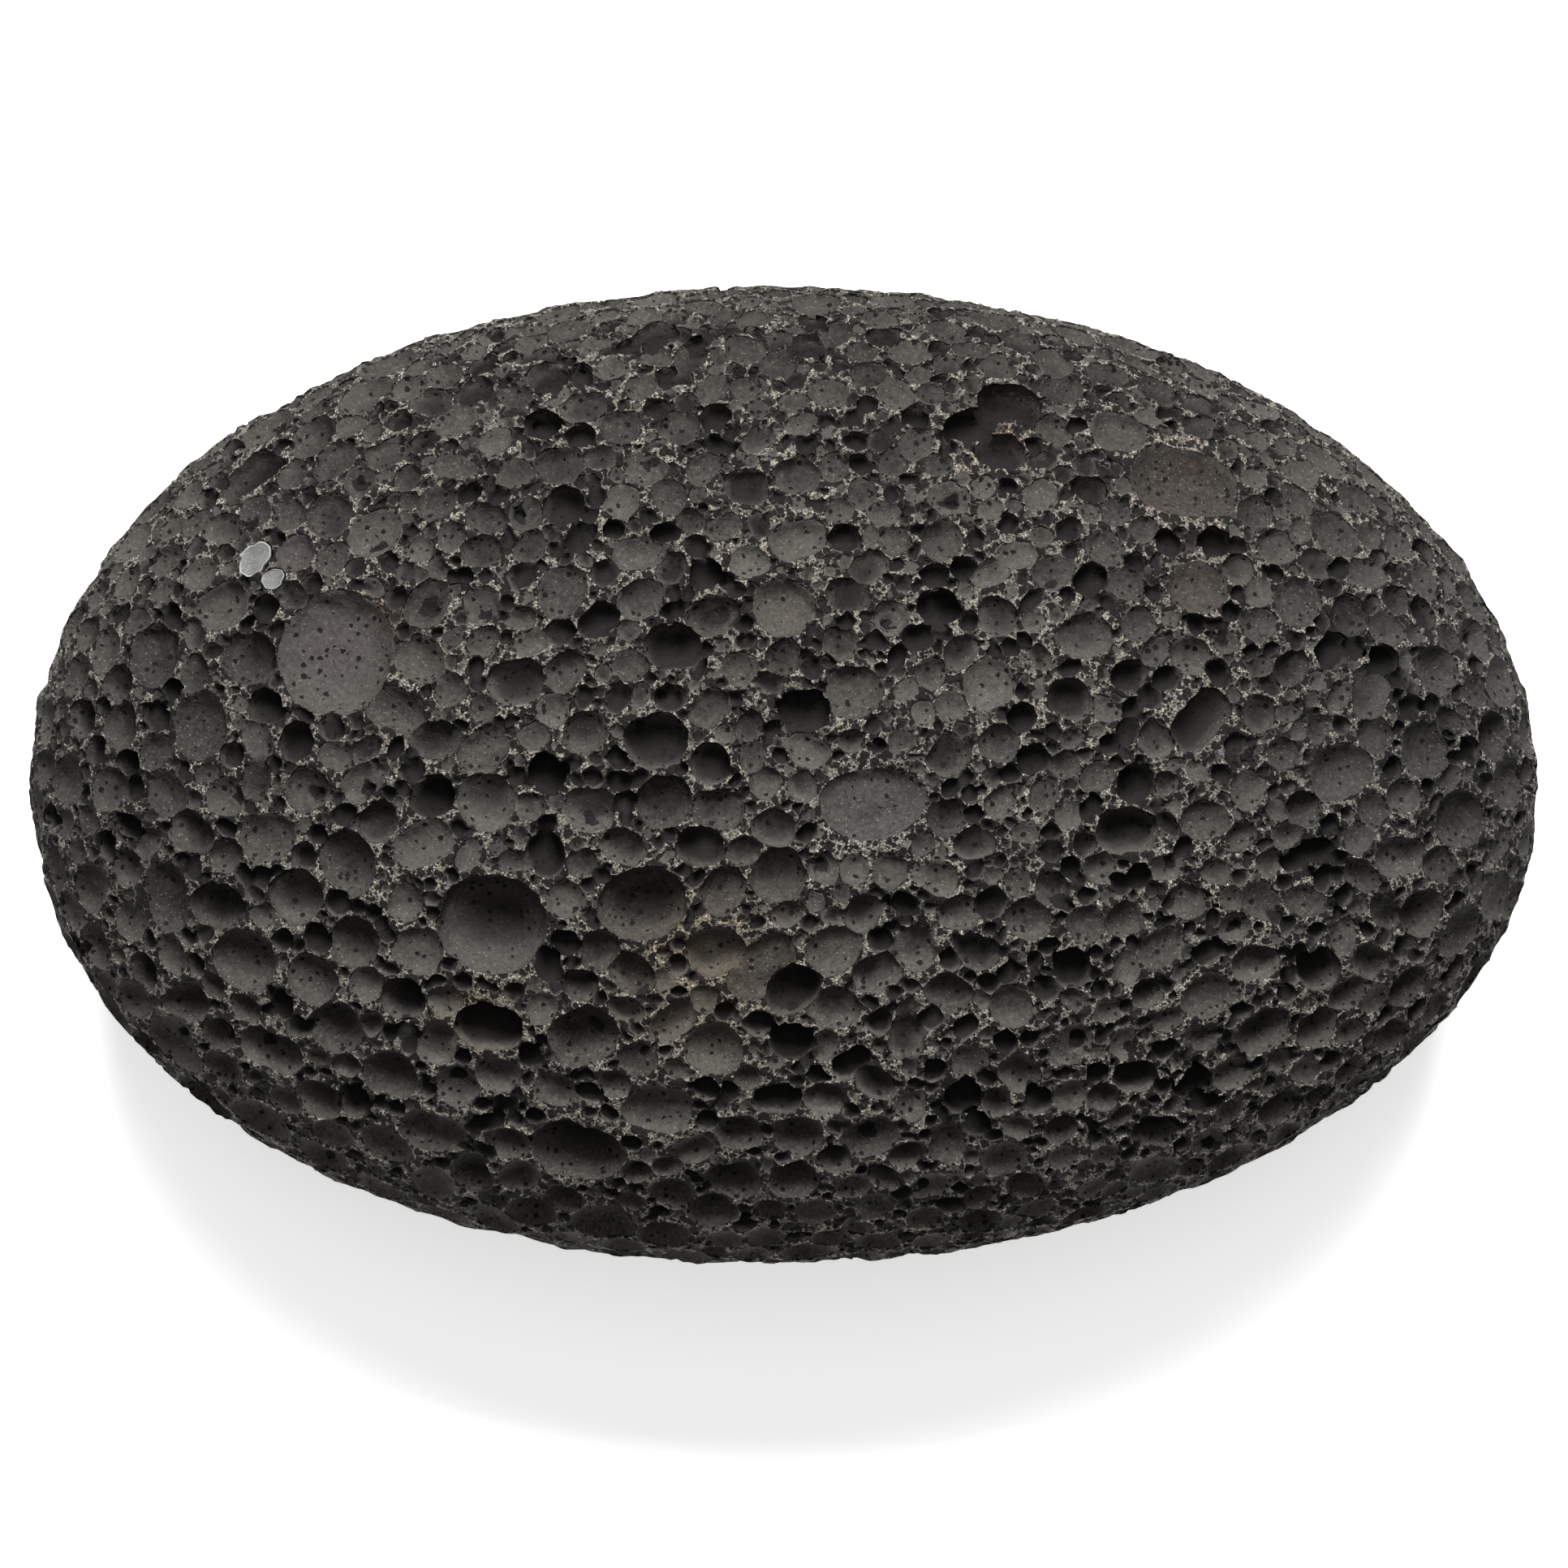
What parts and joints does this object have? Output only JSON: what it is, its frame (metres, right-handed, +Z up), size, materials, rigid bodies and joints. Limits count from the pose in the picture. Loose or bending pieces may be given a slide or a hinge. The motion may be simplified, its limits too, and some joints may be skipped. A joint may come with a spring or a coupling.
{
  "type": "massage stone",
  "caption": "Oval hand-held massage stone of dark vesicular basalt, its skin open with rounded gas bubbles, with a small flat foot below and pale mineral filling a few bubbles.",
  "frame": {"origin": "under the middle of the stone's box, on the flat foot that it rests on", "axes": "+X along the stone's length, +Y along its width, +Z up out of its broad face"},
  "size_m": [0.1, 0.065, 0.037],
  "materials": {
    "vesicular_basalt": "matte",
    "pale_mineral": "satin"
  },
  "bodies": {
    "root": {"basalt_stone": "vesicular_basalt", "large_mineral_filling": "pale_mineral", "small_mineral_filling": "pale_mineral"}
  },
  "joints": []
}
